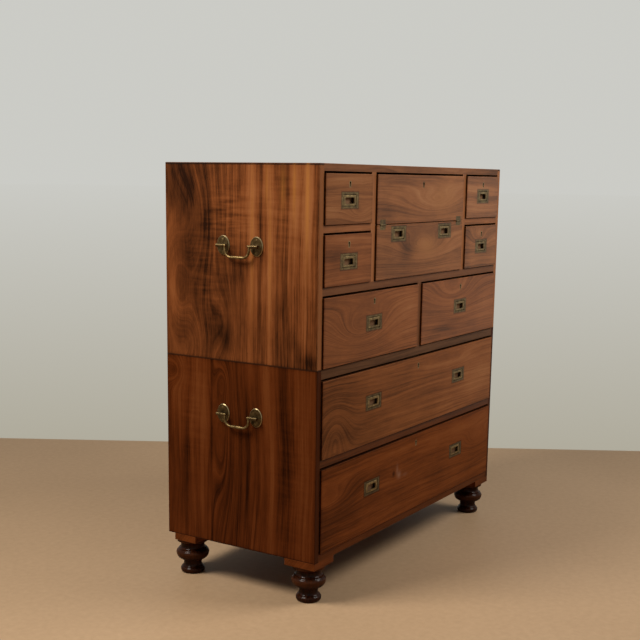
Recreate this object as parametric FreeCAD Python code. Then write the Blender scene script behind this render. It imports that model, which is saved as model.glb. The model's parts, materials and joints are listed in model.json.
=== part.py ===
import FreeCAD, Part
import math
import os
from collections import namedtuple

# Campaign secretaire chest of drawers, made as two carcases that part for travel.
# Millimetres. +Z is up, the drawers face -Y, and the origin is on the floor under the
# middle of the chest, with handles, drawer fronts and hinges counted in its size.

V = FreeCAD.Vector

# ---------------------------------------------------------------- driving dimensions
# Carcases
chest_width = 990.0
chest_depth = 445.0
side_board = 18.0
top_board = 17.0
joint_board = 22.0            # top of the lower carcase, seen as the band between the two
upper_bottom_board = 16.0
lower_bottom_board = 19.0
low_rail = 18.5
mid_rail = 18.5
small_rail = 16.5
column_partition = 21.0
half_partition = 20.0
rail_depth = 62.0
dust_panel = 8.0
panel_groove = 6.0
runner_width = 46.0
back_board = 10.0
back_board_count = 3
back_rebate = 9.0             # how far the back boards reach into each side
housing_depth = 6.0           # how far shelves reach into the sides
housing_stop = 14.0           # housings end this far behind the front
corner_block = 86.0
corner_block_height = 17.0
rear_block_inset = 20.0       # rear blocks stop short of the back
outer_arris = 1.0             # chamfer on the carcases' outer edges

# Drawer openings, from the floor up
deep_opening = 211.5
long_opening = 193.0
half_opening = 171.0
low_small_opening = 124.5
top_small_opening = 122.0
small_opening_width = 214.0

# Drawers
front_thickness = 20.0
front_proud = 4.5             # fronts stand this far forward of the carcase
front_arris = 0.7             # chamfer round the face of each front
side_gap = 1.8
top_gap = 5.0
bottom_gap = 1.5
joint_gap = 2.4               # half drawer fronts above the joint of the carcases
setback_clearance = 0.8       # upper bottom board behind the half drawer fronts
runner_clearance = 0.4
lining = 9.0
drawer_back = 9.0
drawer_bottom = 7.0
drawer_bottom_rise = 6.0
bottom_groove = 4.0
side_drop = 6.0               # drawer sides below the top edge of the front
back_drop = 4.0               # drawer back below the drawer sides
drawer_back_room = 14.0       # behind a closed drawer
tail_pitch = 46.0
tail_lap = 5.0
tail_flare = 3.0
tail_share = 0.62             # tail's share of its pitch at the root

# Flush handles
plate_width = 76.0
plate_height = 37.0
plate_thickness = 2.2
plate_corner = 1.5
bail_width = 55.0
bail_height = 25.0
bail_thickness = 3.0
bail_sink = 0.4               # bail's face below the plate's face
bail_clearance = 1.3
bail_window_width = 40.5
bail_window_height = 14.8
bail_window_rise = 4.4        # bottom bar of the bail
bail_corner = 2.5
tray_wall = 2.4
cup_width = 43.0
cup_height = 21.0
cup_depth = 9.5
cup_wall = 1.5
cup_corner = 4.5
bail_pin_radius = 1.0
bail_pin_length = 1.6
pin_clearance = 0.05
pin_end_room = 0.3
handle_inset_long = 233.0     # from each end of a long drawer's front
handle_inset_desk = 111.0     # from each end of the fixed desk front
handle_shift_long = 5.5       # both handles of a long drawer sit right of true by this
handle_drop_desk = 23.5       # below the top of the fixed desk front

# Handles' middles above the middle of each front
handle_rise = {
    "bottom_drawer": 10.5,
    "long_drawer": 9.5,
    "half_drawer_left": 5.0,
    "half_drawer_right": 4.0,
    "small_drawer_left_low": -4.5,
    "small_drawer_left_top": -3.0,
    "small_drawer_right_low": 0.5,
    "small_drawer_right_top": 2.5,
}

# Keyholes and locks
key_drop = 21.0               # keyhole's round end below the top of a front
key_radius = 3.3
key_slot = 3.6
key_length = 8.5
key_liner = 1.9
key_liner_depth = 6.0
lock_width = 52.0
lock_height = 36.0
lock_depth = 9.0
lock_selvedge = 66.0
lock_selvedge_thickness = 1.8

# Desk: fall, hinges, stays and pigeonholes
desk_front_height = 134.5
fall_gap = 2.0
fall_lip = 8.0                # front lip of the fall's rebated bottom edge
rebate_clearance = 0.6
desk_bed = 9.0
hinge_width = 28.0
hinge_leaf = 11.5
hinge_leaf_thickness = 1.8
hinge_inset = 28.0            # hinge's middle from the end of the fall
knuckle_radius = 2.2
knuckle_clearance = 0.35
knuckle_side_clearance = 0.35
hinge_pin_radius = 0.9
stay_radius = 92.0
stay_width = 8.0
stay_thickness = 2.0
stay_clearance = 1.0
stay_tail_angle = -12.0
stay_foot = 26.0
stay_foot_width = 8.0
leather_thickness = 1.2
leather_margin = 8.0           # bare wood round the leather, stays and lock
nest_depth = 150.0
nest_height = 88.0
nest_board = 5.0
nest_bays = 5
valance_height = 12.0
valance_rise = 8.0

# Carry handles
carry_spacing = 97.0          # between the two back plates of one handle
carry_forward = 2.5           # handle's middle in front of the middle of the sides
carry_plate_width = 37.0
carry_plate_height = 46.5
carry_plate_thickness = 3.4
carry_plate_bevel = 2.0
carry_stand_off = 13.0        # bail's pivot out from the side board
carry_barrel_radius = 4.2
carry_barrel_length = 22.0
carry_barrel_inset = 10.0     # barrel's inner end from the middle of its plate
carry_barrel_bevel = 0.8
carry_boss_radius = 3.6
carry_end_gap = 0.3
carry_eye_radius = 3.5
carry_eye_length = 6.0
carry_leg_radius = 2.2
carry_shoulder_radius = 3.1
carry_grip_radius = 3.8
carry_grip_length = 15.0      # bar at its full thickness
carry_bail_drop = 27.0
carry_bail_corner = 18.0
carry_pin_radius = 2.0
carry_pin_length = 12.0
carry_pin_room = 0.5
carry_level_upper = 277.0     # pivots above the joint of the carcases
carry_level_lower = 333.5     # pivots above the underside of the lower sides

# Feet, each level measured from the floor
foot_height = 92.0
foot_inset = 43.0
foot_collar_radius = 40.0
foot_collar_height = 8.0
foot_throat_radius = 30.5
foot_throat_level = 71.0
foot_shoulder_radius = 37.5
foot_shoulder_level = 61.5
foot_ring_radius = 41.8
foot_ring_level = 50.0
foot_ring_bottom = 35.0
foot_neck_radius = 23.6
foot_neck_level = 28.0
foot_bun_radius = 31.0
foot_bun_level = 7.5
foot_bun_top_radius = 28.6
foot_bun_top = 13.5
foot_pad_radius = 25.0
foot_groove = 1.1
foot_tenon_radius = 13.0
foot_tenon_length = 30.0

# Locating pegs between the carcases
peg_radius = 7.0
peg_height = 12.0
peg_seat = 10.0
peg_clearance = 0.08
peg_inset = 70.0
peg_nose = 1.5

# ---------------------------------------------------------------- levels and places
half_width = chest_width / 2
front_y = -(chest_depth - front_proud - knuckle_radius) / 2
back_y = front_y + chest_depth
face_y = front_y - front_proud
inner_back_y = back_y - back_board
inner_left = -half_width + side_board
inner_right = half_width - side_board

block_bottom = foot_height
lower_bottom = block_bottom + corner_block_height
deep_floor = lower_bottom + lower_bottom_board
low_rail_bottom = deep_floor + deep_opening
long_floor = low_rail_bottom + low_rail
joint_board_bottom = long_floor + long_opening
joint_level = joint_board_bottom + joint_board
half_floor = joint_level + upper_bottom_board
mid_rail_bottom = joint_level + half_opening
desk_floor = mid_rail_bottom + mid_rail
small_rail_bottom = desk_floor + low_small_opening
top_small_floor = small_rail_bottom + small_rail
top_board_bottom = top_small_floor + top_small_opening
chest_top = top_board_bottom + top_board

column_left = inner_left + small_opening_width
column_right = inner_right - small_opening_width
desk_left = column_left + column_partition
desk_right = column_right - column_partition
upper_bottom_front = face_y + front_thickness + setback_clearance


# ---------------------------------------------------------------- solid helpers
def box(x0, x1, y0, y1, z0, z1):
    return Part.makeBox(x1 - x0, y1 - y0, z1 - z0, V(x0, y0, z0))


def rod(start, end, radius):
    """Round bar between two points."""
    axis = end - start
    return Part.makeCylinder(radius, axis.Length, start, axis)


def prism_along_x(points, x0, x1):
    """Solid from (y, z) outline points, between two x values."""
    wire = Part.makePolygon([V(x0, y, z) for y, z in points + points[:1]])
    return Part.Face(wire).extrude(V(x1 - x0, 0, 0))


def rounded_block(mid_x, width, y0, y1, z0, z1, radius):
    """Block whose four edges along Y are rounded."""
    x0 = mid_x - width / 2
    x1 = mid_x + width / 2
    block = box(x0, x1, y0, y1, z0, z1)
    edges = [edge for edge in block.Edges
             if abs(edge.tangentAt(edge.FirstParameter).y) > 0.99]
    return block.makeFillet(radius, edges)


def chamfered(shape, size, keep):
    """The shape with a chamfer on each edge that keep(middle, bounds) accepts."""
    edges = [edge for edge in shape.Edges if keep(edge.BoundBox.Center, edge.BoundBox)]
    return shape.makeChamfer(size, edges)


def front_block(x0, x1, z0, z1):
    """Drawer front with a fine chamfer round its face."""
    block = box(x0, x1, face_y, face_y + front_thickness, z0, z1)
    return chamfered(block, front_arris, lambda middle, bounds: bounds.YMax < face_y + 0.01)


def mirror_x(shape):
    return shape.mirror(V(0, 0, 0), V(1, 0, 0))


def cut_all(shape, tools):
    for tool in tools:
        shape = shape.cut(tool)
    return shape


def single(shape):
    """The one solid of a boolean result, with coplanar faces merged."""
    shape = shape.removeSplitter()
    return shape.Solids[0] if len(shape.Solids) == 1 else shape


def export(name, solids):
    shape = solids[0] if len(solids) == 1 else Part.makeCompound(solids)
    shape.exportStep("parts/" + name + ".step")


# ---------------------------------------------------------------- shelves and carcases
def housing_tongues(y1, z0, z1, stop=housing_stop):
    """The two ends of a shelf, which sit in housings cut in the side boards."""
    y0 = front_y + stop
    left = box(inner_left - housing_depth, inner_left, y0, y1, z0, z1)
    return [left, mirror_x(left)]


def shelf(y0, y1, z0, z1, stop=housing_stop):
    """Full-width board with its housed ends."""
    board = box(inner_left, inner_right, y0, y1, z0, z1)
    for tongue in housing_tongues(y1, z0, z1, stop):
        board = board.fuse(tongue)
    return single(board)


def rail_with_dustboard(z0, z1):
    """Front rail, and the full dustboard glued behind it."""
    rail_back = front_y + rail_depth
    rail = shelf(front_y, rail_back, z0, z1)
    return [rail, shelf(rail_back, inner_back_y, z0, z1, rail_depth)]


def rail_with_frame(z0, z1, panel):
    """Front rail, two runners, and a thin dust panel held in their grooves."""
    rail_back = front_y + rail_depth
    middle = (z0 + z1) / 2
    edge = inner_left + runner_width - panel_groove
    infill = box(edge, -edge, rail_back - panel_groove, inner_back_y,
                 middle - panel / 2, middle + panel / 2)
    rail = shelf(front_y, rail_back, z0, z1).cut(infill)
    runner = box(inner_left - housing_depth, inner_left + runner_width, rail_back, inner_back_y, z0, z1)
    runner = single(runner.cut(infill))
    return [single(rail), runner, mirror_x(runner), infill]


def back_boards(z0, z1):
    """Horizontal boards edge to edge, let into rebates at the back of the sides."""
    step = (z1 - z0) / back_board_count
    x0 = inner_left - back_rebate
    return [box(x0, -x0, inner_back_y, back_y, z0 + i * step, z0 + (i + 1) * step)
            for i in range(back_board_count)]


def side_boards(z0, z1, housed):
    """Left and right side boards with housings for everything let into them."""
    left = box(-half_width, inner_left, front_y, back_y, z0, z1)

    def outer(middle, bounds):
        """The front corner, and on the upper carcase the top's front and outer edges."""
        outside = bounds.XMax < 0.01 - half_width
        front = bounds.YMax < front_y + 0.01
        top = z1 == chest_top and bounds.ZMin > z1 - 0.01
        return (outside and front) or (top and (outside or front))

    left = chamfered(left, outer_arris, outer)
    left = single(cut_all(left, housed))
    return left, mirror_x(left)


def lower_carcase():
    bottom = shelf(front_y, inner_back_y, lower_bottom, deep_floor)
    top = shelf(front_y, back_y, joint_board_bottom, joint_level)
    rail = rail_with_frame(low_rail_bottom, long_floor, dust_panel)
    back = back_boards(lower_bottom, joint_board_bottom)
    left, right = side_boards(lower_bottom, joint_level, [bottom, top] + rail + back)
    return bottom, top, rail, back, left, right


def upper_carcase():
    bottom = shelf(upper_bottom_front, inner_back_y, joint_level, half_floor,
                   upper_bottom_front - front_y)
    top = shelf(front_y, back_y, top_board_bottom, chest_top)
    rail = rail_with_dustboard(mid_rail_bottom, desk_floor)
    back = back_boards(joint_level, top_board_bottom)
    small_rails = small_drawer_rails()
    columns = column_partitions()
    divider = half_drawer_partition()
    left, right = side_boards(joint_level, chest_top, [bottom, top] + rail + small_rails + back)
    rail = [single(cut_all(solid, columns + [divider])) for solid in rail]
    bottom = single(bottom.cut(divider))
    top = chamfered(top, outer_arris, lambda middle, bounds: bounds.YMax < front_y + 0.01
                    and bounds.ZMin > chest_top - 0.01)
    top = single(cut_all(top, columns))
    columns = [single(cut_all(solid, small_rails)) for solid in columns]
    return bottom, top, rail, back, left, right, small_rails, columns, divider


def half_drawer_partition():
    """Upright between the half drawers; its nose laps the front of the bottom board."""
    x0 = -half_partition / 2
    x1 = half_partition / 2
    upright = box(x0, x1, front_y, inner_back_y, half_floor, mid_rail_bottom)
    nose = box(x0, x1, front_y, upper_bottom_front, joint_level, half_floor)
    tongue = box(x0, x1, upper_bottom_front, inner_back_y, half_floor - housing_depth,
                 mid_rail_bottom + housing_depth)
    return single(upright.fuse([nose, tongue]))


def column_partitions():
    """Uprights between the small drawers and the desk, housed at top and bottom."""
    left = box(column_left, desk_left, front_y, inner_back_y, desk_floor, top_board_bottom)
    tongue = box(column_left, desk_left, front_y + housing_stop, inner_back_y,
                 desk_floor - housing_depth, top_board_bottom + housing_depth)
    left = single(left.fuse(tongue))
    return [left, mirror_x(left)]


def small_drawer_rails():
    """Short rail and dustboard between the two small drawers of each column."""
    rail_back = front_y + rail_depth
    rail = box(inner_left, column_left, front_y, rail_back, small_rail_bottom, top_small_floor)
    ends = box(inner_left - housing_depth, column_left + housing_depth, front_y + housing_stop,
               rail_back, small_rail_bottom, top_small_floor)
    rail = single(rail.fuse(ends))
    board = box(inner_left - housing_depth, column_left + housing_depth, rail_back, inner_back_y,
                small_rail_bottom, top_small_floor)
    return [rail, board, mirror_x(rail), mirror_x(board)]


def corner_blocks():
    """Four blocks under the lower carcase, flush with its front and sides, bored for the feet."""
    x1 = -half_width + corner_block
    near = box(-half_width, x1, front_y, front_y + corner_block, block_bottom, lower_bottom)
    near = chamfered(near, outer_arris, lambda middle, bounds: bounds.XMax < 0.01 - half_width
                     and bounds.YMax < front_y + 0.01)
    far = box(-half_width, x1, back_y - corner_block, back_y - rear_block_inset,
              block_bottom, lower_bottom)
    blocks = [near, far, mirror_x(near), mirror_x(far)]
    return [cut_all(block, foot_tenons()) for block in blocks]


# ---------------------------------------------------------------- feet and pegs
def foot_centres():
    x = half_width - foot_inset
    return [(sx * x, y) for sx in (-1, 1)
            for y in (front_y + foot_inset, back_y - foot_inset)]


def foot_tenons():
    top = block_bottom + foot_tenon_length
    return [rod(V(x, y, block_bottom), V(x, y, top), foot_tenon_radius)
            for x, y in foot_centres()]


def turned_foot():
    """Vase foot on the lathe: bun, neck, big ring, throat and collar, with a tenon on top."""
    collar_bottom = foot_height - foot_collar_height

    def line(*points):
        points = [V(r, 0, z) for r, z in points]
        return [Part.LineSegment(p, q).toShape() for p, q in zip(points, points[1:])]

    def bulge(start, end, share):
        """Arc between two points of the profile, its rise a share of their distance."""
        p = V(start[0], 0, start[1])
        q = V(end[0], 0, end[1])
        chord = q - p
        middle = (p + q) / 2 + V(chord.z, 0, -chord.x) * share
        return [Part.Arc(p, middle, q).toShape()]

    pad = (foot_pad_radius, 0)
    bun = (foot_bun_radius, foot_bun_level)
    bun_top = (foot_bun_top_radius, foot_bun_top)
    bun_groove = (foot_bun_top_radius - foot_groove, foot_bun_top + foot_groove)
    flare = (foot_bun_top_radius - foot_groove / 2, foot_bun_top + 2 * foot_groove)
    neck = (foot_neck_radius, foot_neck_level)
    ring_bottom = (foot_neck_radius, foot_ring_bottom)
    ring = (foot_ring_radius, foot_ring_level)
    shoulder = (foot_shoulder_radius, foot_shoulder_level)
    ring_groove = (foot_shoulder_radius - foot_groove, foot_shoulder_level + foot_groove)
    cove = (foot_shoulder_radius - foot_groove / 2, foot_shoulder_level + 2 * foot_groove)
    throat = (foot_throat_radius, foot_throat_level)
    collar = (foot_collar_radius, collar_bottom)
    edges = (line((0, 0), pad) + bulge(pad, bun, 0.22) + bulge(bun, bun_top, 0.18)
             + line(bun_top, bun_groove, flare) + bulge(flare, neck, -0.18) + line(neck, ring_bottom)
             + bulge(ring_bottom, ring, 0.20) + bulge(ring, shoulder, 0.18)
             + line(shoulder, ring_groove, cove) + bulge(cove, throat, -0.16)
             + bulge(throat, collar, -0.20)
             + line(collar, (foot_collar_radius, foot_height), (foot_tenon_radius, foot_height),
                    (foot_tenon_radius, foot_height + foot_tenon_length),
                    (0, foot_height + foot_tenon_length), (0, 0)))
    face = Part.Face(Part.Wire(edges))
    return face.revolve(V(0, 0, 0), V(0, 0, 1), 360)


def turned_feet():
    foot = turned_foot()
    return [foot.translated(V(x, y, 0)) for x, y in foot_centres()]


def peg_centres():
    x = half_width - peg_inset
    return [(sx * x, y) for sx in (-1, 1)
            for y in (front_y + peg_inset, back_y - peg_inset)]


def locating_pegs(clearance=0.0):
    """Round-nosed pegs glued in the joint board; with a clearance, the sockets above."""
    pegs = []
    for x, y in peg_centres():
        peg = rod(V(x, y, joint_level - peg_seat), V(x, y, joint_level + peg_height + clearance),
                  peg_radius + clearance)
        if clearance == 0.0:
            rim = [edge for edge in peg.Edges
                   if edge.BoundBox.ZMin > joint_level + peg_height - 0.01]
            peg = peg.makeChamfer(peg_nose, rim)
        pegs.append(peg)
    return pegs


# ---------------------------------------------------------------- flush handles
def tray_size():
    width = bail_width + 2 * bail_clearance
    height = bail_height + 2 * bail_clearance
    depth = bail_sink + bail_thickness + bail_clearance
    return width, height, depth


def handle_pivot(z):
    """Depth behind the plate's face, and level, of a flush bail's pins."""
    height = tray_size()[1]
    depth = bail_sink + bail_thickness / 2
    return face_y + depth, z + height / 2 - bail_clearance - bail_thickness / 2


def pin_reach():
    """Length of a bail's pin, across the gap and into the plate."""
    return bail_clearance + bail_pin_length


def cup_levels(z):
    """Bottom and top of the finger cup, which is centred on the bail's window."""
    window_middle = z - bail_height / 2 + bail_window_rise + bail_window_height / 2
    return window_middle - cup_height / 2, window_middle + cup_height / 2


def handle_envelope(x, z):
    """Everything of a flush handle's base that is let into the drawer front."""
    width, height, depth = tray_size()
    tray = box(x - width / 2 - tray_wall, x + width / 2 + tray_wall, face_y, face_y + depth + tray_wall,
               z - height / 2 - tray_wall, z + height / 2 + tray_wall)
    plate = rounded_block(x, plate_width, face_y, face_y + plate_thickness,
                          z - plate_height / 2, z + plate_height / 2, plate_corner)
    low, high = cup_levels(z)
    cup = rounded_block(x, cup_width + 2 * cup_wall, face_y, face_y + cup_depth + cup_wall,
                        low - cup_wall, high + cup_wall, cup_corner)
    return plate.fuse([tray, cup])


def handle_base(x, z):
    """Cast plate with the bail's tray, the finger cup behind it and two blind pin holes."""
    width, height, depth = tray_size()
    low, high = cup_levels(z)
    recess = box(x - width / 2, x + width / 2, face_y, face_y + depth, z - height / 2, z + height / 2)
    cup = rounded_block(x, cup_width, face_y, face_y + cup_depth, low, high, cup_corner - cup_wall)
    pin_y, pin_z = handle_pivot(z)
    reach = bail_width / 2 + pin_reach() + pin_end_room
    pins = rod(V(x - reach, pin_y, pin_z), V(x + reach, pin_y, pin_z), bail_pin_radius + pin_clearance)
    return single(handle_envelope(x, z).cut(recess.fuse([cup, pins])))


def flush_bail(x, z):
    """Flat ring that lies flush in its tray and swings out on two pins at its top."""
    pin_y, pin_z = handle_pivot(z)
    y0 = pin_y - bail_thickness / 2
    y1 = pin_y + bail_thickness / 2
    bottom = z - bail_height / 2
    ring = box(x - bail_width / 2, x + bail_width / 2, y0, y1, bottom, pin_z)
    corners = [edge for edge in ring.Edges
               if abs(edge.tangentAt(edge.FirstParameter).y) > 0.99 and edge.BoundBox.ZMax < bottom + 0.01]
    ring = ring.makeFillet(bail_corner, corners)
    barrel = rod(V(x - bail_width / 2, pin_y, pin_z), V(x + bail_width / 2, pin_y, pin_z),
                 bail_thickness / 2)
    reach = bail_width / 2 + pin_reach()
    pins = rod(V(x - reach, pin_y, pin_z), V(x + reach, pin_y, pin_z), bail_pin_radius)
    window_bottom = bottom + bail_window_rise
    window = rounded_block(x, bail_window_width, y0 - 1, y1 + 1, window_bottom,
                           window_bottom + bail_window_height, bail_corner)
    return single(ring.fuse([barrel, pins]).cut(window))


# ---------------------------------------------------------------- keyholes and locks
def keyhole(x, z, grow, depth):
    """Round hole over a parallel slot, grown all round by one amount."""
    radius = key_radius + grow
    hole = rod(V(x, face_y, z), V(x, face_y + depth, z), radius)
    half_slot = key_slot / 2 + grow
    slot = box(x - half_slot, x + half_slot, face_y, face_y + depth, z - key_length - grow, z)
    return hole.fuse(slot)


def lock(x, front_top, back_of_front):
    """Drawer lock: case let into the back of the front, selvedge plate let into its top."""
    y0 = back_of_front - lock_depth
    case = box(x - lock_width / 2, x + lock_width / 2, y0, back_of_front,
               front_top - lock_height, front_top)
    selvedge = box(x - lock_selvedge / 2, x + lock_selvedge / 2, y0, back_of_front,
                   front_top - lock_selvedge_thickness, front_top)
    return case.fuse(selvedge)


def lock_set(x, key_z, front_top, back_of_front):
    """Escutcheon liner and lock, and the hole that they need in the wood."""
    liner = keyhole(x, key_z, key_liner, key_liner_depth).cut(keyhole(x, key_z, 0, key_liner_depth))
    through = keyhole(x, key_z, 0, back_of_front - lock_depth / 2 - face_y)
    body = single(lock(x, front_top, back_of_front).cut(through))
    hole = keyhole(x, key_z, key_liner, key_liner_depth).fuse([through, lock(x, front_top, back_of_front)])
    return [single(liner), body], hole


# ---------------------------------------------------------------- drawers
# A drawer's opening from left to right, what it runs on, its front and its handles' middles
Drawer = namedtuple("Drawer", "name left right floor front_bottom front_top handles")


def plain_drawer(name, left, right, floor, front_bottom, ceiling, offsets=(0.0,)):
    """A drawer whose handles sit near the middle of its front, offset along X."""
    front_top = ceiling - top_gap
    middle_x = (left + right) / 2
    middle_z = (front_bottom + front_top) / 2 + handle_rise[name]
    handles = [(middle_x + offset, middle_z) for offset in offsets]
    return Drawer(name, left, right, floor, front_bottom, front_top, handles)


def drawer_list():
    reach = inner_right - side_gap - handle_inset_long
    long_pair = (handle_shift_long - reach, handle_shift_long + reach)
    low_front = desk_floor + bottom_gap
    top_front = top_small_floor + bottom_gap
    half_front = joint_level + joint_gap
    return [
        plain_drawer("bottom_drawer", inner_left, inner_right, deep_floor, deep_floor + bottom_gap,
                     low_rail_bottom, long_pair),
        plain_drawer("long_drawer", inner_left, inner_right, long_floor, long_floor + bottom_gap,
                     joint_board_bottom, long_pair),
        plain_drawer("half_drawer_left", inner_left, -half_partition / 2, half_floor, half_front,
                     mid_rail_bottom),
        plain_drawer("half_drawer_right", half_partition / 2, inner_right, half_floor, half_front,
                     mid_rail_bottom),
        plain_drawer("small_drawer_left_low", inner_left, column_left, desk_floor, low_front,
                     small_rail_bottom),
        plain_drawer("small_drawer_left_top", inner_left, column_left, top_small_floor, top_front,
                     top_board_bottom),
        plain_drawer("small_drawer_right_low", column_right, inner_right, desk_floor, low_front,
                     small_rail_bottom),
        plain_drawer("small_drawer_right_top", column_right, inner_right, top_small_floor, top_front,
                     top_board_bottom),
    ]


def drawer_side(left, bottom, top, tail_top, front_inner_y):
    """Left lining of a drawer, dovetailed into the back of its front up to tail_top."""
    end_y = inner_back_y - drawer_back_room
    side = box(left, left + lining, front_inner_y, end_y, bottom, top)
    count = max(2, int((tail_top - bottom) / tail_pitch))
    pitch = (tail_top - bottom) / count
    tip_y = face_y + tail_lap
    for i in range(count):
        middle = bottom + (i + 0.5) * pitch
        root = pitch * tail_share / 2
        tip = root + tail_flare
        outline = [(front_inner_y, middle - root), (front_inner_y, middle + root),
                   (tip_y, middle + tip), (tip_y, middle - tip)]
        side = side.fuse(prism_along_x(outline, left, left + lining))
    return single(side)


def drawer_linings(drawer, tail_top):
    """Two sides, back and bottom behind a drawer front."""
    left = drawer.left + side_gap
    right = drawer.right - side_gap
    front_inner_y = face_y + front_thickness
    end_y = inner_back_y - drawer_back_room
    bottom_z = drawer.floor + runner_clearance
    side_top = drawer.front_top - side_drop
    panel_z = bottom_z + drawer_bottom_rise
    panel = box(left + lining - bottom_groove, right - lining + bottom_groove,
                front_inner_y - bottom_groove, end_y, panel_z, panel_z + drawer_bottom)
    side = drawer_side(left, bottom_z, side_top, tail_top, front_inner_y)
    middle = (left + right) / 2
    other = side.mirror(V(middle, 0, 0), V(1, 0, 0))
    back = box(left + lining, right - lining, end_y - drawer_back, end_y,
               panel_z + drawer_bottom, side_top - back_drop)
    return [single(side.cut(panel)), single(other.cut(panel)), back, panel], [side, other, panel]


def drawer_parts(drawer):
    """Wooden front, wooden box and brass of one drawer."""
    left = drawer.left + side_gap
    right = drawer.right - side_gap
    front_inner_y = face_y + front_thickness
    tail_top = drawer.front_top - side_drop
    linings, joinery = drawer_linings(drawer, tail_top)
    brass, lock_hole = lock_set((left + right) / 2, drawer.front_top - key_drop, drawer.front_top,
                                front_inner_y)
    bases = [handle_base(x, z) for x, z in drawer.handles]
    pockets = [handle_envelope(x, z) for x, z in drawer.handles]
    front = front_block(left, right, drawer.front_bottom, drawer.front_top)
    front = single(cut_all(front, joinery + pockets + [lock_hole]))
    return front, linings, bases + brass


# ---------------------------------------------------------------- secretaire drawer
fixed_front_bottom = desk_floor + bottom_gap
hinge_level = fixed_front_bottom + desk_front_height
fall_bottom = hinge_level + fall_gap
fall_top = top_board_bottom - top_gap
fall_left = desk_left + side_gap
fall_right = desk_right - side_gap
fall_inner_y = face_y + front_thickness
bed_top = hinge_level + front_thickness
stay_x = fall_left + lining + stay_clearance
bed_left = stay_x + stay_thickness + stay_clearance


def hinge_places():
    """Left and right ends of the two face hinges."""
    middle = fall_left + hinge_inset
    left = (middle - hinge_width / 2, middle + hinge_width / 2)
    return [left, (-left[1], -left[0])]


def knuckle_spans(x0, x1):
    """Five knuckles: three on the fixed leaf, two on the fall's leaf between them."""
    step = (x1 - x0) / 5
    spans = [(x0 + i * step, x0 + (i + 1) * step) for i in range(5)]
    return spans[0::2], spans[1::2]


def hinge_axis(x):
    return V(x, face_y, hinge_level)


def hinge_leaf_solid(x0, x1, z0, z1, own_spans, other_spans):
    """Face leaf with its own knuckles, relieved for the knuckles of the other leaf."""
    leaf = box(x0, x1, face_y, face_y + hinge_leaf_thickness, z0, z1)
    for a, b in other_spans:
        relief = rod(hinge_axis(a - knuckle_side_clearance), hinge_axis(b + knuckle_side_clearance),
                     knuckle_radius + knuckle_clearance)
        leaf = leaf.cut(relief)
    for a, b in own_spans:
        a += knuckle_side_clearance / 2
        b -= knuckle_side_clearance / 2
        leaf = leaf.fuse(rod(hinge_axis(a), hinge_axis(b), knuckle_radius))
        stem = box(a, b, face_y, face_y + hinge_leaf_thickness, min(z0, hinge_level), max(z1, hinge_level))
        leaf = leaf.fuse(stem)
    return leaf


def face_hinges():
    """Fixed leaves with their pins, the fall's leaves, and the room that the knuckles need."""
    fixed, moving, room = [], [], []
    for x0, x1 in hinge_places():
        fixed_spans, moving_spans = knuckle_spans(x0, x1)
        low = hinge_leaf_solid(x0, x1, hinge_level - hinge_leaf, hinge_level - fall_gap / 2,
                               fixed_spans, moving_spans)
        pin = rod(hinge_axis(x0 + knuckle_side_clearance), hinge_axis(x1 - knuckle_side_clearance),
                  hinge_pin_radius)
        fixed.append(single(low.fuse(pin)))
        high = hinge_leaf_solid(x0, x1, fall_bottom, fall_bottom + hinge_leaf, moving_spans, fixed_spans)
        bore = rod(hinge_axis(x0), hinge_axis(x1), hinge_pin_radius + pin_clearance)
        moving.append(single(high.cut(bore)))
        room.append(rod(hinge_axis(x0 - knuckle_side_clearance), hinge_axis(x1 + knuckle_side_clearance),
                        knuckle_radius + knuckle_clearance))
    return fixed, moving, room


def writing_leather():
    """Leather let flush into the fall's inner face, cut away round the lock."""
    x0 = stay_x + stay_foot_width + leather_margin
    y0 = fall_inner_y - leather_thickness
    leather = box(x0, -x0, y0, fall_inner_y, bed_top + rebate_clearance + leather_margin,
                  fall_top - leather_margin)
    half_notch = lock_selvedge / 2 + leather_margin
    notch = box(-half_notch, half_notch, y0 - 1, fall_inner_y + 1,
                fall_top - lock_height - leather_margin, fall_top)
    return single(leather.cut(notch))


def quadrant_stay(x):
    """Brass quarter ring about the hinge line, screwed to the fall by its foot."""
    centre = hinge_axis(x)
    axis = V(1, 0, 0)
    outer = stay_radius + stay_width / 2
    inner = stay_radius - stay_width / 2
    ring = Part.makeCylinder(outer, stay_thickness, centre, axis)
    ring = ring.cut(Part.makeCylinder(inner, stay_thickness, centre, axis))
    tail = math.radians(stay_tail_angle)
    reach = 2 * outer
    wedge = [(face_y + front_thickness, hinge_level + reach),
             (face_y + front_thickness, hinge_level),
             (face_y + front_thickness, hinge_level + front_thickness * math.tan(tail)),
             (face_y + reach, hinge_level + reach * math.tan(tail)),
             (face_y + reach, hinge_level + reach)]
    ring = ring.common(prism_along_x(wedge, x, x + stay_thickness))
    foot_middle = hinge_level + math.sqrt(stay_radius ** 2 - front_thickness ** 2)
    foot = box(x, x + stay_foot_width, fall_inner_y, fall_inner_y + stay_thickness,
               foot_middle - stay_foot / 2, foot_middle + stay_foot / 2)
    return single(ring.fuse(foot))


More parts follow.
